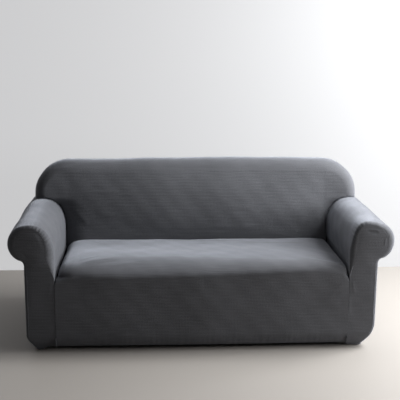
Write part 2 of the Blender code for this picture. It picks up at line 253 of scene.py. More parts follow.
def bell(value):
    """A soft bump of height 1 at 0 that ends at -1 and 1."""
    return ease(1 - np.abs(value))


def curve_through(table, at):
    """A smooth curve through a table's rows, read at the given places."""
    x = np.array([row[0] for row in table])
    y = np.array([row[1] for row in table])
    gap = np.diff(x)
    rise = np.diff(y) / gap
    between = (rise[:-1] * gap[1:] + rise[1:] * gap[:-1]) / (gap[:-1] + gap[1:])
    slope = np.concatenate([rise[:1], between, rise[-1:]])
    at = np.clip(at, x[0], x[-1])
    i = np.clip(np.searchsorted(x, at, side="right") - 1, 0, len(gap) - 1)
    t = (at - x[i]) / gap[i]
    start = y[i] * (1 + 2 * t) * (1 - t) ** 2 + slope[i] * gap[i] * t * (1 - t) ** 2
    end = y[i + 1] * t * t * (3 - 2 * t) + slope[i + 1] * gap[i] * t * t * (t - 1)
    return start + end


def spread(start, end, step=STEP):
    """Evenly spaced numbers from start to end, both included, about a step apart."""
    return np.linspace(start, end, max(int(round(abs(end - start) / step)), 1) + 1)


def turns(count, start=0, end=90):
    """Evenly spaced bearings in degrees."""
    return np.linspace(start, end, count)


def square_to(line):
    """The way square to each point of a line in a plane."""
    run = np.gradient(line, axis=0)
    run /= np.maximum(np.linalg.norm(run, axis=1), 1e-9)[:, None]
    return np.stack([-run[:, 1], run[:, 0]], axis=1)


def drawn(z, top=DRAW_TOP):
    """How much of the elastic's pull is felt at a height, from 1 at the floor to 0 above the hem."""
    return np.maximum(1 - z / top, 0.0) ** 1.5


def hem_height(from_corner, side):
    """The hem comes down to the floor round each foot and is clear of it between."""
    return HEM_HEIGHT * ease((from_corner - side.foot_width) / side.foot_ease)


def side_x(z, side):
    return side.side_x - side.draw_in * drawn(z, side.draw_top)


def face_y(z):
    return FACE_Y + DRAW_IN_FACE * drawn(z)


def rear_y(z):
    lean = REAR_LEAN * np.maximum((z - LEAN_START) / LEAN_RISE, 0.0) ** 1.5
    return REAR - lean - DRAW_IN_FACE * drawn(z)


def back_face_y(x, z):
    """The raked front of the inside back, a little full in the middle."""
    across = np.maximum(1 - (x / WING_X) ** 2, 0.0)
    fullness = BACK_FULLNESS * across * np.sin(pi * (z - FULL_FROM) / FULL_RISE)
    roundness = TOP_ROUNDNESS * np.maximum((z - TOP_ROUND_FROM) / (TOP_ROUND_TO - TOP_ROUND_FROM), 0.0) ** 2
    return CREASE_Y + RAKE * (z - SEAT_REAR_HEIGHT) - np.maximum(fullness, 0.0) + roundness


def arm_top_z(x):
    across = np.clip((x - UPPER_ROLL.x) / UPPER_ROLL.half_width, 0.0, 1.0)
    return UPPER_ROLL.z + UPPER_ROLL.half_height * np.sqrt(1 - across * across)


def on_ellipse(ellipse, degrees, inset=0.0):
    angle = np.radians(degrees)
    x = ellipse.x + (ellipse.half_width - inset) * np.cos(angle)
    z = ellipse.z + (ellipse.half_height - inset) * np.sin(angle)
    return x, z


def back_top(x, side):
    return curve_through(TOP_LINE, x * side.sign)


def wing(side):
    return Ellipse(WING_X, WING_Z, WING_REACH - WING_X, back_top(WING_X, side) - WING_Z)


# ------------------------ sheets

# A patch is a grid of rows x, y, z, u, v: places in metres, and the weave's lines in metres


def patch(x, y, z, u, v):
    return np.stack(np.broadcast_arrays(x, y, z, u, v), axis=-1).astype(float)


def run_length(points, axis):
    """Distance along each line of a grid of places, from its first point."""
    steps = np.linalg.norm(np.diff(points[..., :3], axis=axis), axis=-1)
    start = np.zeros_like(np.take(steps, [0], axis=axis))
    return np.concatenate([start, np.cumsum(steps, axis=axis)], axis=axis)


def mirrored(grid, side):
    flipped = grid.copy()
    flipped[..., 0] *= side.sign
    flipped[..., 3] *= side.sign
    return flipped


def sheet_object(name, patches, inside, relief):
    """One mesh from patches that share their borders, raised by relief(x, y, z, u, v) along its normals."""
    rows = []
    faces = []
    start = 0
    for grid in patches:
        high, wide = grid.shape[:2]
        index = np.arange(high * wide).reshape(high, wide) + start
        corners = (index[:-1, :-1], index[:-1, 1:], index[1:, 1:], index[1:, :-1])
        faces.append(np.stack(corners, axis=-1).reshape(-1, 4))
        rows.append(grid.reshape(-1, 5))
        start += high * wide
    rows = np.concatenate(rows)
    faces = np.concatenate(faces)
    mesh = bpy.data.meshes.new(name)
    mesh.from_pydata(rows[:, :3].tolist(), [], faces.tolist())
    layer = mesh.uv_layers.new(name="cloth")
    corner = np.zeros(len(mesh.loops), np.int32)
    mesh.loops.foreach_get("vertex_index", corner)
    layer.uv.foreach_set("vector", rows[corner][:, 3:].astype(np.float32).ravel())
    work = bmesh.new()
    work.from_mesh(mesh)
    bmesh.ops.remove_doubles(work, verts=work.verts, dist=0.00002)
    bmesh.ops.recalc_face_normals(work, faces=work.faces)
    facing = [face.normal.dot(face.calc_center_median() - inside) * face.calc_area() for face in work.faces]
    if sum(facing) < 0:
        bmesh.ops.reverse_faces(work, faces=work.faces)
    work.to_mesh(mesh)
    work.free()
    raise_surface(mesh, relief)
    mesh.shade_smooth()
    panel = bpy.data.objects.new(name, mesh)
    bpy.context.scene.collection.objects.link(panel)
    thicken = panel.modifiers.new("cloth", "SOLIDIFY")
    thicken.thickness = CLOTH
    thicken.offset = -1.0
    return panel


def raise_surface(mesh, relief):
    count = len(mesh.vertices)
    place = np.zeros(count * 3, np.float32)
    mesh.vertices.foreach_get("co", place)
    place = place.reshape(-1, 3).astype(float)
    normal = np.zeros(count * 3, np.float32)
    mesh.vertex_normals.foreach_get("vector", normal)
    normal = normal.reshape(-1, 3).astype(float)
    corner = np.zeros(len(mesh.loops), np.int32)
    mesh.loops.foreach_get("vertex_index", corner)
    weave = np.zeros(len(mesh.loops) * 2, np.float32)
    mesh.uv_layers["cloth"].uv.foreach_get("vector", weave)
    lines = np.zeros((count, 2))
    lines[corner] = weave.reshape(-1, 2)
    height = relief(*place.T, *lines.T)
    place += normal * height[:, None]
    mesh.vertices.foreach_set("co", place.astype(np.float32).ravel())
    mesh.update()


# ------------------------ the arm

Section = namedtuple("Section", "x z out_x out_z inset reach share corner")
HEM_ROWS = 9


def edge_of(bearing):
    """Inset and reach of the turn onto the scroll face, read from the table."""
    rows = SCROLL_EDGE[::-1]
    inset = curve_through([(row.bearing, row.inset) for row in rows], bearing)
    reach = curve_through([(row.bearing, row.reach) for row in rows], bearing)
    return inset, reach


def arm_section(side):
    """Close stations round the arm: up inside it, over the roll, down its side and to the hem."""
    inner_z = spread(CLEFT, ARCH_HEIGHT)[:-1]
    arch = turns(41, 180, 90)[:-1]
    roll = turns(25, 90, 0)[:-1]
    under = turns(22, 0, UNDER_END)
    side_z = spread(SIDE_TOP, DRAW_TOP)[1:]
    arch_x, arch_z = on_ellipse(INNER_ARCH, arch)
    roll_x, roll_z = on_ellipse(UPPER_ROLL, roll)
    under_x, under_z = on_ellipse(UNDER_ROLL, under)
    bend = np.linspace(0, 1, 8)[1:]
    pull_x = side.side_x + 0.002
    bend_x = mix(mix(under_x[-1], pull_x, bend), mix(pull_x, side.side_x, bend), bend)
    bend_z = mix(mix(under_z[-1], CREASE_PULL, bend), mix(CREASE_PULL, SIDE_TOP, bend), bend)
    share = np.linspace(1, 0, HEM_ROWS)[1:]
    inner_x = np.full(len(inner_z), ARM_INSIDE)
    x = np.concatenate([inner_x, arch_x, roll_x, under_x, bend_x, side_x(side_z, side)])
    z = np.concatenate([inner_z, arch_z, roll_z, under_z, bend_z, side_z])
    bearing = np.concatenate([np.full(len(inner_z), 180.0), arch, roll, under, mix(UNDER_END, -90, bend)])
    inset, reach = edge_of(bearing)
    ramp = ease((z[: len(inset)] - CLEFT) / (ARCH_HEIGHT - CLEFT))
    ramp[len(inner_z):] = 1.0
    ramp *= mix(1.0, side.inner_turn, ease((bearing - 90) / 45))
    inset = np.concatenate([inset * ramp, np.full(len(side_z), SIDE_EDGE)])
    reach = np.concatenate([reach * ramp, np.full(len(side_z), SIDE_EDGE)])
    along = np.gradient(np.stack([x, z]), axis=1)
    along /= np.linalg.norm(along, axis=0)
    hem_edge = mix(FOOT_EDGE, SIDE_EDGE, share)
    return Section(
        np.concatenate([x, np.full(len(share), side.side_x)]),
        np.concatenate([z, np.zeros(len(share))]),
        np.concatenate([-along[1], np.ones(len(share))]),
        np.concatenate([along[0], np.zeros(len(share))]),
        np.concatenate([inset, hem_edge]),
        np.concatenate([reach, hem_edge]),
        np.concatenate([np.full(len(x), np.nan), share]),
        np.concatenate([bell((bearing - 116) / 46), np.zeros(len(side_z) + len(share))]),
    )


def crown_row(section):
    """The station at the very top of the arm."""
    return int(np.argmax(np.isclose(section.z, ARM_TOP, atol=1e-6)))


def column(section):
    """The section's fields as columns, for grids whose rows are its stations."""
    return Section(*(field[:, None] for field in section))


def section_at(line, y, side):
    """The section's X and Z at y: near the hem they follow the hem's height."""
    hem = hem_height(np.minimum(y - FACE_Y, REAR - y), side) + HEM_RADIUS
    low_z = mix(hem, DRAW_TOP, np.nan_to_num(line.share))
    z = np.where(np.isnan(line.share), line.z, low_z)
    x = np.where(np.isnan(line.share), line.x, side_x(low_z, side))
    filled = side.corner_fill * line.corner * (1 - ease((y - FACE_Y) / CORNER_REACH))
    return x + line.out_x * filled, z + line.out_z * filled


def turn_in(line, degrees, gap, side, rear=False):
    """The arm cloth's turn onto the scroll face or the outside back: 0 at its side, 90 at the seam."""
    angle = np.radians(degrees)
    x, z = section_at(line, REAR if rear else FACE_Y, side)
    roll_share = REAR_EDGE_SHARE if rear else 1.0
    share = np.where(np.isnan(line.share) & (line.z > SIDE_TOP), roll_share, 1.0)
    inset = (line.inset * share + gap) * (1 - np.cos(angle))
    reach = line.reach * share * (1 - np.sin(angle))
    y = rear_y(z) - reach if rear else face_y(z) + reach
    return x - line.out_x * inset, y, z - line.out_z * inset


def seam_turned(x, y, z, out_x, out_z):
    """A seam's edge rolled over and run on rearwards into the cover, on the side that out points to."""
    angle = np.radians(turns(4))
    lap = np.append(SEAM_RADIUS * np.sin(angle), SEAM_RADIUS)
    depth = np.append(SEAM_RADIUS * (1 - np.cos(angle)), SEAM_DEPTH)
    back = SEAM_RADIUS - lap
    return x + out_x * back, y + depth, z + out_z * back


def arm_run(line, start, end, side, count):
    """The arm's cloth between two depths."""
    y = mix(start, end, np.linspace(0, 1, count)[None, :])
    x, z = section_at(line, y, side)
    return x, y, z


def joined(*parts):
    """Grids of x, y, z put side by side, leaving out each later one's first column, which is shared."""
    return [np.concatenate([parts[0][k]] + [part[k][:, 1:] for part in parts[1:]], axis=1) for k in range(3)]


def full(part, rows):
    """A part's x, y and z, each with all its rows and columns."""
    return [np.broadcast_to(field, (rows, np.broadcast_arrays(*part)[0].shape[1])) for field in part]


def arm_patches(side):
    """The arm's cloth: its front from hem to hem, and the part behind the back's corner from the top down."""
    section = arm_section(side)
    line = column(section)
    rows = len(section.x)
    crown = crown_row(section)
    edge = turn_in(line, np.insert(turns(10, 90, 0), 1, BESIDE_SEAM)[None, :], 0.0, side)
    edge = [field.copy() for field in full(edge, rows)]
    edge[1][0] += CLEFT_SETBACK
    fold = seam_turned(edge[0][:, :1], edge[1][:, :1], edge[2][:, :1], line.out_x, line.out_z)
    fold = [field[:, ::-1] for field in full(fold, rows)]
    shown = np.arange(rows) >= crown
    tuck_end = back_face_y(line.x, line.z) + ARM_TUCK_DEPTH
    end = np.where(shown[:, None], REAR_PART_START, tuck_end)
    front = joined(fold, edge, full(arm_run(line, edge[1][:, -1:], end, side, 96), rows))
    tail = Section(*(field[crown:] for field in line))
    rear_edge = full(turn_in(tail, turns(10)[None, :], 0.0, side, rear=True), rows - crown)
    start = np.full((rows - crown, 1), REAR_PART_START)
    rear = joined(full(arm_run(tail, start, rear_edge[1][:, :1], side, 28), rows - crown), rear_edge)
    v = run_length(np.stack(front, axis=-1), 0)[:, 60]
    v = (v[-1] - v)[:, None]
    u = run_length(np.stack(front, axis=-1), 1)
    u_rear = u[crown:, -1:] + run_length(np.stack(rear, axis=-1), 1)
    front = patch(*front, u, v)
    rear = patch(*rear, u_rear, v[crown:])
    hems = [hem_turned(front), hem_turned(rear)]
    return [mirrored(grid, side) for grid in [front, rear] + hems]


def hem_turned(grid):
    """The cloth's last row rolled under and up inside, by HEM_TURN."""
    edge = grid[-1]
    inward = square_to(edge[:, :2])
    if inward[len(inward) // 2, 0] > 0:
        inward = -inward
    return rolled_under(edge, inward)


def rolled_under(edge, inward):
    """A hem: the edge turned under and up the inside."""
    rows = []
    for degrees in (0,) + EDGE_TURN:
        angle = radians(90 if degrees is None else degrees)
        row = edge.copy()
        row[:, :2] += inward * HEM_RADIUS * (1 - cos(angle))
        row[:, 2] -= HEM_RADIUS * sin(angle)
        if degrees is None:
            row[:, :2] += inward * HEM_RADIUS
            row[:, 2] += HEM_TURN
        row[:, 4] = edge[:, 4] - HEM_RADIUS * angle - (HEM_TURN if degrees is None else 0.0)
        rows.append(row)
    return np.stack(rows)


# ------------------------ the scroll face

AT_SEAM = np.array([[90.0]])
SHOULDER_HEIGHT = 0.640
BROW_HEIGHT = 0.625
SCROLL_ROWS = 110
SCROLL_COLUMNS = 44
SCROLL_MIDDLE = (0.845, 0.450)


def resampled(points, count):
    """A line of points read again at evenly spaced places along it."""
    length = run_length(points, 0)
    at = np.linspace(0, length[-1], count)
    return np.stack([np.interp(at, length, points[:, k]) for k in range(3)], axis=1)


def scroll_seam(side):
    """The seam round the scroll face, from the hem inside the arm, over the roll, to the hem outside."""
    section = arm_section(side)
    line = column(section)
    seam = full(turn_in(line, AT_SEAM, SEAM_GAP, side), len(section.x))
    over = np.stack([field[:, 0] for field in seam], axis=1)[1:]
    over[:6, 0] += (CLEFT_GAP - SEAM_GAP) * np.linspace(1, 0, 6)
    hem = hem_height(CORNER_X - ARM_INSIDE, side) + HEM_RADIUS
    low_z = np.concatenate([np.linspace(hem, DRAW_TOP, HEM_ROWS)[:-1], spread(DRAW_TOP, CLEFT)])
    low_x = ARM_INSIDE + SEAM_GAP + (CLEFT_GAP - SEAM_GAP) * ease((low_z - DRAW_TOP) / (CLEFT - DRAW_TOP))
    inner = np.stack([low_x, face_y(low_z), low_z], axis=1)
    return inner, over


def scroll_patches(side):
    """The scroll face, filled between the two sides of its seam and arched under the top of it."""
    inner, over = scroll_seam(side)
    shoulder = int(np.argmin(np.abs(over[:, 2] - SHOULDER_HEIGHT) + 10 * (over[:, 0] > INNER_ARCH.x)))
    brow = int(np.argmin(np.abs(over[:, 2] - BROW_HEIGHT) + 10 * (over[:, 0] < INNER_ARCH.x)))
    left = resampled(np.concatenate([inner, over[: shoulder + 1]]), SCROLL_ROWS)
    right = resampled(over[brow:][::-1], SCROLL_ROWS)
    top = resampled(over[shoulder : brow + 1], SCROLL_COLUMNS)
    across = (top[:, 0] - top[0, 0]) / (top[-1, 0] - top[0, 0])
    across[1], across[-2] = BESIDE_SIDE, 1 - BESIDE_SIDE
    top[1], top[-2] = mix(top[0], top[2], 0.15), mix(top[-1], top[-3], 0.15)
    across = across[None, :, None]
    straight = mix(left[:, None, :], right[:, None, :], across)
    bow = top[None] - mix(top[:1, None, :], top[None, -1:, :], across)
    level = np.linspace(0, 1, SCROLL_ROWS)[:, None, None]
    level[-2] = BESIDE_TOP
    straight[-2] = mix(straight[-1], straight[-3], 0.10)
    grid = straight + bow * ease((level - 0.55) / 0.45)
    x, y, z = np.moveaxis(grid, -1, 0)
    hem = hem_height(CORNER_X - x, side) + HEM_RADIUS
    low = ease(1 - (z - HEM_RADIUS) / (DRAW_TOP - HEM_RADIUS))
    z = z + (hem - z[:1]) * low * (z < DRAW_TOP)
    head = ease((z - 0.40) / 0.10) * ease((ARM_TOP - 0.017 - z) / 0.05)
    share = across[..., 0]
    y = face_y(z) - SCROLL_FULLNESS * head * 4 * share * (1 - share)
    y[-1] = top[:, 1]
    face = patch(x, y, z, x, z)
    return [mirrored(part, side) for part in [face, rolled_under(face[0], REARWARDS)] + scroll_rim(face)]


def scroll_rim(face):
    """The seam allowance round the face, rolled in along its sides and its top."""
    borders = [face[:, 0], face[:, -1][::-1], face[-1]]
    rims = []
    for border in borders:
        out = square_to(border[:, [0, 2]])
        inwards = np.sum(out * (border[:, [0, 2]] - SCROLL_MIDDLE), axis=1).mean() < 0
        out = -out if inwards else out
        x, y, z = seam_turned(border[:, :1], border[:, 1:2], border[:, 2:3], -out[:, :1], -out[:, 1:])
        x = x + out[:, :1] * SEAM_RADIUS
        z = z + out[:, 1:] * SEAM_RADIUS
        rim = patch(x, y, z, border[:, 3:4], border[:, 4:5])
        rim[:, 0] = border
        rims.append(rim)
    return rims


# ------------------------ seat and apron

TOP_ROWS = 76
NOSE_ROWS = 26
APRON_ROWS = 44


def nose(x, side):
    """Depth and rise of the seat's rounded front."""
    depth = curve_through([(row.x, row.depth) for row in NOSE], x * side.sign)
    rise = curve_through([(row.x, row.rise) for row in NOSE], x * side.sign)
    return depth, rise


def seat_crown(x, y):
    """How far the cushion under the cloth swells it towards the front."""
    return SEAT_CROWN * bell((y - CROWN_MIDDLE) / CROWN_REACH) * ease((0.76 - np.abs(x)) / 0.2)


def seat_columns(x, side):
    """Points down the cloth at each x, from the crease of the back, over the nose, to the hem."""
    x = x[None, :]
    depth, rise = nose(x, side)
    swell = NOSE_SWELL * bell((np.abs(x) - 0.66) / 0.16)
    front = FRONT + FRONT_BOW * (x / ARM_INSIDE) ** 2
    drop = SEAT_DROP * np.maximum((x - side.drop_start) / (ARM_INSIDE - side.drop_start), 0.0) ** 2
    rear_edge = back_face_y(x, SEAT_REAR_HEIGHT - drop) - TUCK_GAP - TUCK_RADIUS
    parts = []
    y = mix(rear_edge, front + depth, np.linspace(0, 1, TOP_ROWS)[:, None])
    level = ease((0.10 - y) / 0.42)
    parts.append((y, mix(SEAT_REAR_HEIGHT, SEAT_HEIGHT, level) - drop + seat_crown(x, y)))
    angle = np.radians(turns(NOSE_ROWS, 90, 0))[1:, None]
    facing = np.sin(angle)
    bottom = SEAT_HEIGHT - rise
    y = front + depth - depth * np.cos(angle) - swell * np.sin(2 * angle) * facing
    parts.append((y, bottom + rise * facing - drop * facing + seat_crown(x, y)))
    z = mix(bottom, DRAW_TOP, np.linspace(0, 1, APRON_ROWS)[1:, None])
    parts.append((np.broadcast_to(front, z.shape), z))
    hem = hem_height(CORNER_X - x, side) + HEM_RADIUS
    z = mix(DRAW_TOP, hem, np.linspace(0, 1, HEM_ROWS)[1:, None])
    parts.append((front + DRAW_IN_FACE * drawn(z), z))
    y = np.concatenate([part[0] for part in parts])
    z = np.concatenate([part[1] for part in parts])
    return np.broadcast_to(x, y.shape), y, z


def seat_patches(side):
    """Half of the seat and apron, with its tuck behind, its side rim and its hem."""
    border = ARM_INSIDE - SEAT_GAP - side.seat_round
    across = spread(0, border)
    x, y, z = seat_columns(across, side)
    grid = np.stack([x, y, z], axis=-1)
    v = run_length(grid, 0)[:, len(across) // 2]
    v = (v[-1] - v)[:, None]
    cloth = patch(x, y, z, x, v)
    tuck = rear_tuck(cloth)
    edge = np.concatenate([tuck[::-1][:-1], cloth])
    rim = side_rim(edge, side)
    hem = rolled_under(cloth[-1], REARWARDS)
    rim_hem = rolled_under(rim[-1], REARWARDS)
    return [mirrored(part, side) for part in (cloth, tuck, rim, hem, rim_hem)]


def rear_tuck(cloth):
    """The cloth's rear edge rolled over and tucked down behind the seat."""
    edge = cloth[0]
    rows = []
    for degrees in (0,) + EDGE_TURN:
        angle = radians(90 if degrees is None else degrees)
        row = edge.copy()
        row[:, 1] += TUCK_RADIUS * sin(angle)
        row[:, 2] -= TUCK_RADIUS * (1 - cos(angle))
        if degrees is None:
            row[:, 2] = TUCK_BOTTOM
        row[:, 1] += back_face_y(row[:, 0], row[:, 2]) - back_face_y(edge[:, 0], edge[:, 2])
        row[:, 4] = edge[:, 4] + TUCK_RADIUS * angle + (0.05 if degrees is None else 0.0)
        rows.append(row)
    return np.stack(rows)


def side_rim(edge, side):
    """The seat's side border: tucked down beside the arm, and turned in at the seam below the cleft."""
    border = edge[:, -1]
    inward = square_to(border[:, 1:3])
    inward[inward[:, 1] > 0.2] *= -1
    inward = mix(inward, np.array([[0.0, -1.0]]), ease((border[:, 1:2] + 0.30) / 0.05))
    below = ease((CLEFT + 0.030 - border[:, 2]) / 0.045) * (border[:, 1] < 0)
    half_width = mix(side.seat_round, SEAM_RADIUS, below)
    half_height = mix(side.seat_roll, SEAM_RADIUS, below)
    reach = ARM_INSIDE - mix(SEAT_GAP, SEAM_GAP, below) - border[:, 0]
    depth = mix(TUCK_DEPTH, SEAM_DEPTH, below)
    beside = border.copy()
    beside[:, [0, 3]] += (reach - half_width - SEAM_SUPPORT * below)[:, None]
    columns = [border, beside]
    for degrees in (0, 10, 20, 30, 40, 50, 60, 70, 80, 90, None):
        angle = radians(90 if degrees is None else degrees)
        point = border.copy()
        point[:, 0] += reach - half_width * (1 - sin(angle))
        sunk = half_height * (1 - cos(angle))
        if degrees is None:
            sunk = np.maximum(depth, half_height + 0.01)
        point[:, 1] += inward[:, 0] * sunk
        point[:, 2] += inward[:, 1] * sunk
        point[:, 3] = border[:, 3] + (point[:, 0] - border[:, 0]) + sunk
        columns.append(point)
    return np.stack(columns, axis=1)


# ------------------------ the back

RIM_TURN = np.radians(turns(14))
REAR_COLUMNS = 110


def rim_depth(x, z):
    """Y over the back's edge: the first half of the places rounds off the front, the rest the rear."""
    half = len(RIM_TURN)
    front = back_face_y(x[..., :half], z[..., :half]) + FRONT_EDGE_REACH * (1 - np.cos(RIM_TURN))
    rear = rear_y(z[..., half:]) - REAR_EDGE_REACH * (1 - np.sin(RIM_TURN))
    return np.concatenate([front, rear], axis=-1)


def rim_line(station_x, station_z, out_x, out_z):
    """Over the back's edge at each station of its outline, from the face's border to the seam behind."""
    inset = np.concatenate([FRONT_EDGE * (1 - np.sin(RIM_TURN)), REAR_EDGE * (1 - np.cos(RIM_TURN))])
    x = station_x[:, None] - out_x[:, None] * inset
    z = station_z[:, None] - out_z[:, None] * inset
    return x, rim_depth(x, z), z


def back_outline(side):
    """Stations of the back's outline from the arm, round its corner, to the middle: place and outward way."""
    corner = wing(side)
    angles = turns(46, 0, 90)
    x, z = on_ellipse(corner, angles)
    out_x, out_z = np.cos(np.radians(angles)), np.sin(np.radians(angles))
    top_x = spread(WING_X, 0)[1:]
    top_z = back_top(top_x, side)
    zeros = np.zeros(len(top_x))
    outline = [np.concatenate(pair) for pair in ((x, top_x), (z, top_z), (out_x, zeros), (out_z, zeros + 1))]
    return outline, len(angles)


def back_patches(side):
    """Half of the inside back: its face, the roll over its edge, and its tucks beside and on the arm."""
    (x, z, out_x, out_z), corner = back_outline(side)
    rim_x, rim_y, rim_z = rim_line(x, z, out_x, out_z)
    rim_z[0] = arm_top_z(rim_x[0]) + WING_GAP + TUCK_RADIUS
    rim_y[0] = rim_depth(rim_x[0], rim_z[0])
    rim_z[1:corner] += np.clip((rim_z[0] - rim_z[1:corner]) + 0.004, 0, None)
    section = arm_section(side)
    crown = crown_row(section)
    keep = slice(0, crown + 1, 2)
    out = np.stack([section.out_x[keep], section.out_z[keep]], axis=1)
    edge_x = section.x[keep] + out[:, 0] * TUCK_GAP
    edge_z = section.z[keep] + out[:, 1] * TUCK_GAP
    edge_z[0] = TUCK_BOTTOM
    border_x = edge_x + out[:, 0] * TUCK_RADIUS
    border_z = edge_z + out[:, 1] * TUCK_RADIUS
    border_x[-1], border_z[-1] = rim_x[0, 0], rim_z[0, 0]
    side_border_x = np.concatenate([border_x, rim_x[1:corner, 0]])
    side_border_z = np.concatenate([border_z, rim_z[1:corner, 0]])
    top_x, top_z = rim_x[corner - 1 :, 0][::-1], rim_z[corner - 1 :, 0][::-1]
    across = top_x / top_x[-1]
    level = (side_border_z - side_border_z[0]) / (side_border_z[-1] - side_border_z[0])
    middle_z = mix(TUCK_BOTTOM, top_z[0], np.linspace(0, 1, len(level)))[:, None]
    rows_z = mix(middle_z, side_border_z[:, None], ease(across / 0.8))
    face_z = rows_z + (top_z - rows_z[-1:]) * ease((level[:, None] - 0.3) / 0.7)
    face_x = side_border_x[:, None] * across
    face_depth = back_face_y(face_x, face_z) + arm_hollow(face_x, face_z, side)
    face = patch(face_x, face_depth, face_z, face_x, face_z)
    run = run_length(np.stack([rim_x, rim_y, rim_z], axis=-1), 1)
    rim_u = rim_x[:, :1] + run * out_x[:, None]
    rim_v = rim_z[:, :1] + run * out_z[:, None]
    rim = patch(rim_x, rim_y, rim_z, rim_u, rim_v)
    side_tuck = tuck_strip(face[: len(border_x), -1], out)
    foot = wing_foot_strip(rim[0])
    return [mirrored(part, side) for part in (face, rim, side_tuck, foot)]


def arm_hollow(x, z, side):
    """How far the back rounds away rearwards as it nears the arm."""
    over = np.maximum(z - ARCH_HEIGHT, 0) / (INNER_ARCH.half_height / INNER_ARCH.half_width)
    distance = np.hypot(np.maximum(INNER_ARCH.x - x, 0), over) - INNER_ARCH.half_width
    share = np.clip(1 - distance / side.hollow_width, 0, 1)
    below_top = ease((ARM_TOP + 0.012 - z) / 0.05)
    inside = ease((INNER_ARCH.x + 0.02 - x) / 0.08)
    return side.hollow_depth * share**3 * below_top * inside


def tuck_strip(border, out):
    """The back's side border rolled over the arm's line and tucked in behind it."""
    rows = [border]
    for degrees in EDGE_TURN:
        angle = radians(90 if degrees is None else degrees)
        row = border.copy()
        lap = TUCK_RADIUS * sin(angle)
        row[:, 0] = border[:, 0] - out[:, 0] * lap
        row[:, 2] = border[:, 2] - out[:, 1] * lap
        row[0, 2] = border[0, 2]
        sunk = TUCK_RADIUS * (1 - cos(angle)) if degrees is not None else TUCK_DEPTH
        row[:, 1] = border[:, 1] + sunk
        row[:, 3] = border[:, 3] + lap + sunk
        rows.append(row)
    return np.stack(rows)


def wing_foot_strip(edge):
    """The back's side border where it stands on the arm, rolled under towards its inside."""
    inward = square_to(edge[:, :2])
    inward[inward[:, 0] > 0.2] *= -1
    rows = [edge]
    for degrees in EDGE_TURN:
        angle = radians(90 if degrees is None else degrees)
        row = edge.copy()
        sunk = TUCK_RADIUS * (1 - cos(angle)) if degrees is not None else WING_TUCK_DEPTH
        row[:, :2] += inward * sunk
        row[:, 2] = edge[:, 2] - TUCK_RADIUS * sin(angle)
        if degrees is None or degrees > 50:
            row[:, 2] = arm_top_z(row[:, 0]) + WING_GAP
        row[:, 4] = edge[:, 4] - TUCK_RADIUS * angle - (0.02 if degrees is None else 0.0)
        rows.append(row)
    return np.stack(rows)


def rear_patches(side):
    """Half of the outside back: one flat cloth to the outline of base, roll and top corner."""
    section = arm_section(side)
    crown = crown_row(section)
    tail = Section(*(field[crown:] for field in column(section)))
    x, _, z = full(turn_in(tail, AT_SEAM, SEAM_GAP, side, rear=True), len(section.x) - crown)
    seam = np.stack([x[:, 0], z[:, 0]], axis=1)[::-1]
    (out_x, out_z, way_x, way_z), corner = back_outline(side)
    inset = REAR_EDGE + SEAM_GAP
    wing_seam = np.stack([out_x - way_x * inset, out_z - way_z * inset], axis=1)[:corner]
    foot = arm_top_z(wing_seam[0, 0]) + WING_GAP + TUCK_RADIUS
    wing_seam = wing_seam[wing_seam[:, 1] > foot]
    first = np.array([[wing_seam[0, 0] - WING_FOOT_CLEAR, foot]])
    upper = np.concatenate([first, wing_seam])
    upper = resampled(np.insert(upper, 1, 0.0, axis=1), len(way_x[:corner]))[:, [0, 2]]
    border = np.concatenate([seam, upper])
    across = np.linspace(0, 1, REAR_COLUMNS)
    border_x, border_z = border[:, :1], border[:, 1:]
    grid_x = border_x * across
    crown_z = back_top(grid_x[-1:], side) - inset
    middle_z = np.linspace(DRAW_TOP, crown_z[0, 0], len(border) - HEM_ROWS + 1)
    middle_z = np.concatenate([np.zeros(HEM_ROWS - 1), middle_z])
    rows_z = mix(middle_z[:, None], border_z, ease(across / 0.8))
    level = ease((rows_z - WING_Z) / (rows_z[-1:] - WING_Z))
    grid_z = rows_z + (crown_z - rows_z[-1:]) * level
    hem = hem_height(CORNER_X - grid_x, side) + HEM_RADIUS
    grid_z[:HEM_ROWS] = mix(hem[:HEM_ROWS], DRAW_TOP, np.linspace(0, 1, HEM_ROWS)[:, None])
    face = patch(grid_x, rear_y(grid_z), grid_z, grid_x, grid_z)
    return [mirrored(part, side) for part in (face, rolled_under(face[0], -REARWARDS))]


# ------------------------ creases and unevenness

Crease = namedtuple("Crease", "x1 y1 x2 y2 width height")
Ripple = namedtuple("Ripple", "length bearing phase height")

DRIFT = (
    Ripple(0.410, 17, 0.6, 0.0010),
    Ripple(0.270, 74, 2.1, 0.0008),
    Ripple(0.163, 128, 4.4, 0.0005),
    Ripple(0.094, 41, 1.3, 0.0003),
)

GATHER_HEIGHT = 0.0011
GATHER_REACH = 0.035


def creases(first, second, table):
    """Soft ridges, or troughs where the height is negative, along short lines in a plane."""
    total = np.zeros_like(first)
    for row in table:
        start = np.array([row.x1, row.y1])
        way = np.array([row.x2, row.y2]) - start
        length = np.linalg.norm(way)
        way = way / length
        along = ((first - start[0]) * way[0] + (second - start[1]) * way[1]) / length
        off = (first - start[0]) * way[1] - (second - start[1]) * way[0]
        taper = ease(np.clip(along, 0, 1) * 4) * ease(np.clip(1 - along, 0, 1) * 4)
        total += row.height * taper * np.exp(-((off / row.width) ** 2))
    return total


def drift(first, second, phase=0.0):
    """A slow unevenness of the whole cloth."""
    total = np.zeros_like(first)
    for row in DRIFT:
        way = radians(row.bearing)
        along = first * cos(way) + second * sin(way)
        total += row.height * np.sin(2 * pi * along / row.length + row.phase + phase)
    return total


def hem_gathers(along, height):
    """Small gathers that the elastic draws into the cloth above the hem."""
    turn = 2 * pi * along
    wave = np.sin(turn / 0.031 + 1.7 * np.sin(turn / 0.213))
    strength = 0.6 + 0.4 * np.sin(turn / 0.141)
    return GATHER_HEIGHT * wave * strength * np.exp(-np.maximum(height, 0) / GATHER_REACH)


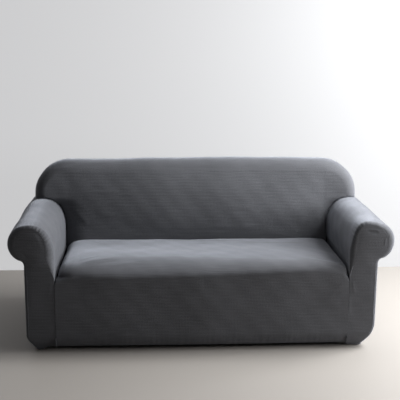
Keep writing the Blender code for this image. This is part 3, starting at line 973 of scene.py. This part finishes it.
BACK_CREASES = (
    Crease(-0.86, 0.838, -0.64, 0.866, 0.008, 0.0016),
    Crease(-0.83, 0.858, -0.70, 0.873, 0.006, -0.0012),
    Crease(-0.76, 0.868, -0.50, 0.879, 0.007, 0.0012),
    Crease(-0.63, 0.716, -0.44, 0.722, 0.010, 0.0009),
    Crease(-0.60, 0.600, -0.42, 0.575, 0.014, 0.0009),
    Crease(-0.74, 0.640, -0.62, 0.520, 0.016, 0.0016),
    Crease(0.74, 0.650, 0.64, 0.520, 0.016, 0.0016),
    Crease(0.02, 0.520, 0.45, 0.514, 0.009, 0.0010),
    Crease(-0.20, 0.500, 0.25, 0.497, 0.008, -0.0008),
    Crease(0.16, 0.640, 0.34, 0.622, 0.012, 0.0008),
)

SEAT_CREASES = (
    Crease(-0.64, -0.365, -0.46, -0.300, 0.011, 0.0015),
    Crease(-0.57, -0.380, -0.40, -0.322, 0.010, -0.0014),
    Crease(-0.50, -0.392, -0.33, -0.348, 0.010, 0.0014),
    Crease(-0.66, -0.340, -0.54, -0.285, 0.010, -0.0012),
    Crease(-0.40, 0.135, 0.45, 0.128, 0.010, 0.0009),
    Crease(0.20, 0.095, 0.66, 0.060, 0.014, 0.0009),
    Crease(0.50, -0.330, 0.72, -0.385, 0.011, 0.0010),
)

APRON_CREASES = (
    Crease(-0.760, 0.384, -0.640, 0.290, 0.011, 0.0016),
    Crease(-0.762, 0.372, -0.700, 0.240, 0.010, -0.0010),
    Crease(0.760, 0.384, 0.650, 0.280, 0.011, 0.0014),
    Crease(0.762, 0.372, 0.715, 0.235, 0.010, -0.0010),
)


def seat_relief(x, y, z, u, v):
    top = ease((z - 0.40) / 0.03)
    front = 1 - top
    height = drift(x, v) + creases(x, y, SEAT_CREASES) * top + creases(x, z, APRON_CREASES) * front
    open_air = (np.abs(x) < ARM_INSIDE - 0.012) & (v > -0.002)
    return (height + hem_gathers(x, v)) * open_air


def back_relief(x, y, z, u, v):
    height = drift(x, z, 1.1) + creases(x, z, BACK_CREASES)
    from_arch = np.hypot(np.maximum(INNER_ARCH.x - np.abs(x), 0), np.maximum(z - ARCH_HEIGHT, 0))
    beside_arm = ease((from_arch - 0.13) / 0.05)
    above_arm = ease((z - ARM_TOP - 0.01) / 0.03)
    return height * ease((z - 0.47) / 0.05) * np.maximum(beside_arm, above_arm)


def rear_relief(x, y, z, u, v):
    edge = ease((0.86 - np.abs(x)) / 0.06) * ease((0.84 - z) / 0.05)
    return drift(x, z, 2.3) * edge + hem_gathers(x, z) * (z > 0.001)


COMB_HEIGHT = 0.0045


def arm_relief(side):
    def relief(x, y, z, u, v):
        x = np.abs(x)
        depth = y - FACE_Y
        bearing = np.degrees(np.arctan2(z - ROLL_HEIGHT, x - UPPER_ROLL.x))
        roll = bell((bearing - 45) / 75) * (z > ROLL_HEIGHT - 0.04)
        height = side.roll_swell * roll * ease(depth / 0.03) * ease((REAR - y) / 0.2)
        height += side.rear_bulge * roll * bell((y - 0.10) / 0.13)
        open_air = ease((0.20 - y) / 0.05 + (x > 0.95) + (z < ARM_TOP - 0.03) * (x > 0.9))
        height += drift(y, v, 3.0 + side.sign) * ease(depth / 0.05) * open_air
        inner = (x < INNER_ARCH.x + 0.02) & (z > 0.56)
        comb = np.sin(2 * pi * v / 0.0175 + 0.9 * np.sin(2 * pi * v / 0.071))
        fade = np.exp(-np.maximum(depth, 0) / 0.035) * ease(depth / 0.008)
        height += COMB_HEIGHT * comb * fade * inner * bell((z - 0.635) / 0.075)
        height += hem_gathers(y, v) * (v > -0.002)
        beside_seat = TUCK_LINE - TUCK_FALL * ease((-0.34 - y) / 0.09)
        inside = (x < ARM_INSIDE + 0.03) * ease(depth / 0.03)
        height -= side.tuck_pull * bell((z - beside_seat) / 0.032) * inside
        return height * ((v > -0.002) | (z > 0.2))
    return relief


RIGHT_SCROLL_CREASES = (
    Crease(0.846, 0.640, 0.910, 0.632, 0.0040, -0.0040),
    Crease(0.852, 0.648, 0.918, 0.640, 0.0040, 0.0020),
    Crease(0.942, 0.560, 0.948, 0.606, 0.0045, 0.0020),
    Crease(0.775, 0.372, 0.800, 0.300, 0.0090, 0.0012),
    Crease(0.770, 0.560, 0.800, 0.470, 0.0150, 0.0012),
)
LEFT_SCROLL_CREASES = (
    Crease(0.775, 0.380, 0.805, 0.300, 0.0090, 0.0012),
    Crease(0.930, 0.550, 0.900, 0.500, 0.0090, -0.0010),
)


def scroll_relief(side):
    table = RIGHT_SCROLL_CREASES if side is RIGHT else LEFT_SCROLL_CREASES

    def relief(x, y, z, u, v):
        x = np.abs(x)
        inner, over = scroll_seam(side)
        seam = np.concatenate([inner, over])
        gap = np.hypot(x[:, None] - seam[None, :, 0], z[:, None] - seam[None, :, 2]).min(axis=1)
        clear = ease((gap - 0.003) / 0.020)
        height = drift(x, z, 5.0) * 0.6 + creases(x, z, table)
        return height * clear

    return relief


# ------------------------ shader maths


class Wire:
    """One output of a shader node. Arithmetic on it adds Math nodes."""

    def __init__(self, tree, socket):
        self.tree = tree
        self.socket = socket

    def math(self, operation, *values):
        return add_node(self.tree, "ShaderNodeMath", {"operation": operation}, dict(enumerate(values)))

    def __add__(self, other):
        return self.math("ADD", self, other)

    def __sub__(self, other):
        return self.math("SUBTRACT", self, other)

    def __rsub__(self, other):
        return self.math("SUBTRACT", other, self)

    def __mul__(self, other):
        return self.math("MULTIPLY", self, other)

    def __gt__(self, other):
        return self.math("GREATER_THAN", self, other)

    __radd__ = __add__
    __rmul__ = __mul__

    def fraction(self):
        return self.math("FRACT", self)

    def absolute(self):
        return self.math("ABSOLUTE", self)

    def sine(self):
        return self.math("SINE", self)

    def power(self, exponent):
        return self.math("POWER", self, exponent)


def add_node(tree, kind, settings, inputs, output=0):
    """A new node with its settings and sockets set, and the wire of one of its outputs."""
    node = tree.nodes.new(kind)
    for name, value in settings.items():
        setattr(node, name, value)
    for key, value in inputs.items():
        if isinstance(value, Wire):
            tree.links.new(value.socket, node.inputs[key])
        else:
            node.inputs[key].default_value = value
    return Wire(tree, node.outputs[output]) if node.outputs else None


def mix_colour(tree, share, first, second):
    return add_node(tree, "ShaderNodeMix", {"data_type": "RGBA"}, {0: share, 6: first, 7: second}, 2)


def shader(name):
    material = bpy.data.materials.new(name)
    material.use_nodes = True
    material.node_tree.nodes.clear()
    return material, material.node_tree


# ------------------------ the cloth

CHECK = 0.0080
YARNS = 7
Tone = namedtuple("Tone", "dark light")
CHARCOAL = Tone((0.046, 0.047, 0.051, 1), (0.100, 0.101, 0.110, 1))
SHEEN_TINT = (0.86, 0.90, 1.0, 1)


def jacquard(name, tone):
    """Stretch jacquard: raised checks whose yarns run across on one and down on the next."""
    material, tree = shader(name)
    weave = add_node(tree, "ShaderNodeUVMap", {"uv_map": "cloth"}, {})
    wander = add_node(tree, "ShaderNodeTexNoise", {}, {"Vector": weave, "Scale": 9.0, "Detail": 2.0}, 0)
    across = add_node(tree, "ShaderNodeSeparateXYZ", {}, {0: weave}, 0) * (1 / CHECK) + wander * 1.2
    down = add_node(tree, "ShaderNodeSeparateXYZ", {}, {0: weave}, 1) * (1 / CHECK) + wander * 0.9
    half_x = (across * 0.5).fraction() > 0.5
    half_y = (down * 0.5).fraction() > 0.5
    turned = (half_x - half_y).absolute()
    swell_x = (across * pi).sine().absolute()
    swell_y = (down * pi).sine().absolute()
    pillow = (swell_x * swell_y).power(0.45)
    rows = swell_y.power(0.6)
    rib_across = (down * (YARNS * pi)).sine().absolute()
    rib_down = (across * (YARNS * pi)).sine().absolute()
    ribs = rib_across * (1 - turned) + rib_down * turned
    place = add_node(tree, "ShaderNodeTexCoord", {}, {}, 3)
    cloud = add_node(tree, "ShaderNodeTexNoise", {}, {"Vector": place, "Scale": 3.2, "Detail": 3.0}, 0)
    fibre = add_node(tree, "ShaderNodeTexNoise", {}, {"Vector": place, "Scale": 900.0, "Detail": 2.0}, 0)
    long = {0: weave, 1: (11.0, 120.0, 1.0)}
    streaked = add_node(tree, "ShaderNodeVectorMath", {"operation": "MULTIPLY"}, long)
    streak = add_node(tree, "ShaderNodeTexNoise", {}, {"Vector": streaked, "Scale": 1.0, "Detail": 2.0}, 0)
    shade = rows * 0.30 + pillow * 0.20 + turned * 0.14 + ribs * 0.15
    shade = shade + fibre * 0.3 + streak * 0.6 + cloud * 0.7 - 0.70
    colour = mix_colour(tree, shade, tone.dark, tone.light)
    relief = rows * 0.45 + pillow * 0.35 + ribs * 0.2 + fibre * 0.15 + streak * 1.0
    normal = add_node(tree, "ShaderNodeBump", {}, {"Strength": 0.65, "Distance": 0.0010, "Height": relief})
    settings = {
        "Base Color": colour,
        "Roughness": 0.92 - pillow * 0.10,
        "Normal": normal,
        "Sheen Weight": 0.58,
        "Sheen Roughness": 0.38,
        "Sheen Tint": SHEEN_TINT,
        "Specular IOR Level": 0.25,
    }
    surface = add_node(tree, "ShaderNodeBsdfPrincipled", {}, settings)
    add_node(tree, "ShaderNodeOutputMaterial", {}, {"Surface": surface})
    return material


def plain(name, colour, roughness, glow=0.0, clear_behind=False):
    material, tree = shader(name)
    settings = {"Base Color": colour, "Roughness": roughness}
    settings |= {"Emission Color": colour, "Emission Strength": glow}
    surface = add_node(tree, "ShaderNodeBsdfPrincipled", {}, settings)
    if clear_behind:
        behind = add_node(tree, "ShaderNodeNewGeometry", {}, {}, 6)
        clear = add_node(tree, "ShaderNodeBsdfTransparent", {}, {})
        surface = add_node(tree, "ShaderNodeMixShader", {}, {0: behind, 1: surface, 2: clear})
    add_node(tree, "ShaderNodeOutputMaterial", {}, {"Surface": surface})
    return material


# ------------------------ putting it together


def both(patches):
    """The left and the right patches of a panel that runs across the middle."""
    return patches(LEFT) + patches(RIGHT)


def dressed(panel, material, node, slot, **sheet):
    """Gives a panel its cloth, hangs it under the root and hides the solid it stands for; the slot and how
    large it was cut are not used.
    """
    panel.data.materials.append(material)
    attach(panel, "root")
    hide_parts(node)


def make_cover():
    """Sews the seven panels of the cover."""
    cloth = jacquard("charcoal_jacquard", CHARCOAL)
    seat = sheet_object("seat_and_apron", both(seat_patches), Vector((0, 0, 0.2)), seat_relief)
    dressed(seat, cloth, "seat_apron", "seat_cloth", flat=(1.62, 1.16))
    back = sheet_object("inside_back", both(back_patches), Vector((0, 0.33, 0.6)), back_relief)
    dressed(back, cloth, "back_front", "inside_back_cloth", flat=(2.06, 0.80))
    rear = sheet_object("outside_back", both(rear_patches), Vector((0, 0.33, 0.5)), rear_relief)
    dressed(rear, cloth, "back_rear", "outside_back_cloth", flat=(1.93, 0.88))
    for word, side in SIDES.items():
        inside = Vector((0.85 * side.sign, 0, 0.3))
        arm = sheet_object(word + "_arm", arm_patches(side), inside, arm_relief(side))
        dressed(arm, cloth, "arm_" + word, "arm_cloth", flat=(0.90, 1.32))
        scroll = sheet_object(word + "_scroll_face", scroll_patches(side), inside, scroll_relief(side))
        dressed(scroll, cloth, "arm_front_" + word, "scroll_cloth", flat=(0.22, 0.68), area=0.108)


# ------------------------ stage, lights and camera

WALL_Y = 1.02
STAGE_SIZE = 9.0


def stage_plane(name, material):
    mesh = bpy.data.meshes.new(name)
    work = bmesh.new()
    bmesh.ops.create_grid(work, x_segments=1, y_segments=1, size=STAGE_SIZE)
    work.to_mesh(mesh)
    work.free()
    mesh.materials.append(material)
    plane = bpy.data.objects.new(name, mesh)
    bpy.context.scene.collection.objects.link(plane)
    return plane


def make_stage():
    """A pale floor, and a pale wall that is clear from behind, so that it hides nothing there."""
    stage_plane("floor", plain("pale_floor", (0.28, 0.258, 0.236, 1), 0.6))
    wall = plain("pale_wall", (0.16, 0.16, 0.162, 1), 0.8, 3.2, clear_behind=True)
    backdrop = stage_plane("backdrop", wall)
    backdrop.rotation_euler = (radians(90), 0, 0)
    backdrop.location = (0, WALL_Y, 6.0)


def area_light(name, place, towards, size, power, colour=(1, 1, 1)):
    lamp = bpy.data.lights.new(name, "AREA")
    lamp.shape = "RECTANGLE"
    lamp.size, lamp.size_y = size
    lamp.energy = power
    lamp.color = colour
    holder = bpy.data.objects.new(name, lamp)
    holder.location = place
    holder.rotation_mode = "QUATERNION"
    holder.rotation_quaternion = (Vector(towards) - Vector(place)).to_track_quat("-Z", "Z")
    bpy.context.scene.collection.objects.link(holder)


DAYLIGHT = (0.96, 0.98, 1.0)


def make_lights():
    world = bpy.data.worlds.new("soft_surround")
    world.use_nodes = True
    world.node_tree.nodes["Background"].inputs["Color"].default_value = (0.93, 0.95, 1.0, 1)
    world.node_tree.nodes["Background"].inputs["Strength"].default_value = 0.08
    bpy.context.scene.world = world
    area_light("window", (2.65, 0.00, 2.42), (0.2, 0.0, 0.5), (1.6, 1.2), 208, DAYLIGHT)
    area_light("ceiling", (1.3, 0.0, 2.2), (0.9, 0.0, 0.0), (1.4, 0.6), 13)
    area_light("low_window", (3.1, -0.52, 1.15), (0.2, 0.0, 0.5), (0.7, 0.9), 78, DAYLIGHT)
    area_light("fill", (2.3, -1.6, 1.4), (0.5, 0.0, 0.4), (1.1, 1.1), 24)


CAMERA_PLACE = (-0.2616, -4.6206, 1.7370)
CAMERA_TURN = 3.292
CAMERA_TILT = 12.470
CAMERA_ROLL = -0.444
LENS = 76.29


def make_camera():
    turn, tilt, roll = radians(CAMERA_TURN), radians(CAMERA_TILT), radians(CAMERA_ROLL)
    forward = Vector((sin(turn) * cos(tilt), cos(turn) * cos(tilt), -sin(tilt)))
    right = Vector((cos(turn), -sin(turn), 0))
    up = right.cross(forward)
    across = right * cos(roll) - up * sin(roll)
    upright = up * cos(roll) + right * sin(roll)
    lens = bpy.data.cameras.new("camera")
    lens.lens = LENS
    lens.sensor_width = 36.0
    camera = bpy.data.objects.new("camera", lens)
    turned = Matrix((across, upright, -forward)).transposed().to_4x4()
    camera.matrix_world = Matrix.Translation(CAMERA_PLACE) @ turned
    bpy.context.scene.collection.objects.link(camera)
    bpy.context.scene.camera = camera


make_camera()
make_cover()
make_stage()
make_lights()
bpy.context.scene.view_settings.view_transform = "Standard"
